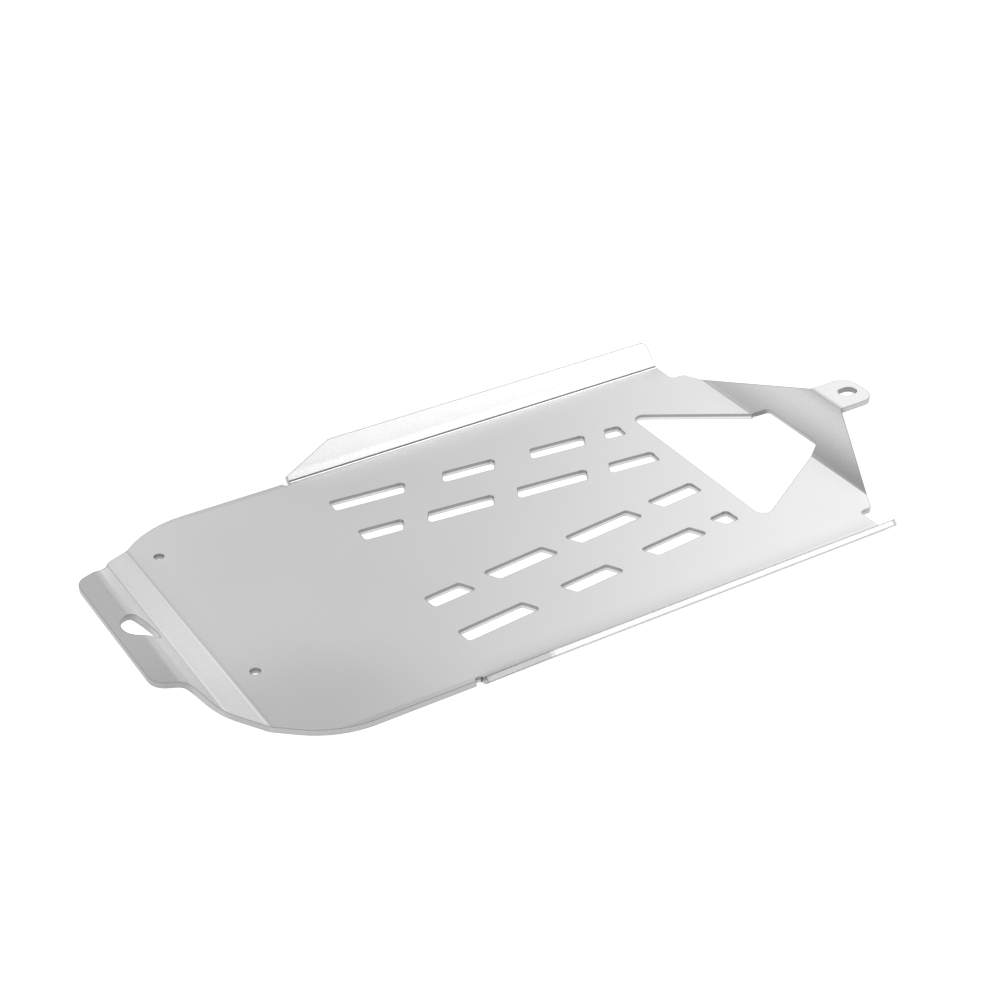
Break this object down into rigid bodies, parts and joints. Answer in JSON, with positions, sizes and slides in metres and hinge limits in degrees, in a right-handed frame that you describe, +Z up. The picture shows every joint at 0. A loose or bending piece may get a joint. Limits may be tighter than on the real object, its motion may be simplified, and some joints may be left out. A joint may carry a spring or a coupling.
{
  "type": "motorcycle belly pan",
  "caption": "Folded aluminium skid plate with stepped nose, side flanges, rows of drain slots, trapezoid rear opening and a rear fastening tab.",
  "frame": {"origin": "middle of the length and of the width, on the underside of the flat panel that the part rests on", "axes": "+X from the nose to the rear tab, +Y to the right-hand side seen from above with the nose pointing away, +Z up"},
  "size_m": [0.5734, 0.2854, 0.0256],
  "materials": {
    "sheet": "satin"
  },
  "bodies": {
    "root": {"belly_pan": "sheet"}
  },
  "joints": []
}
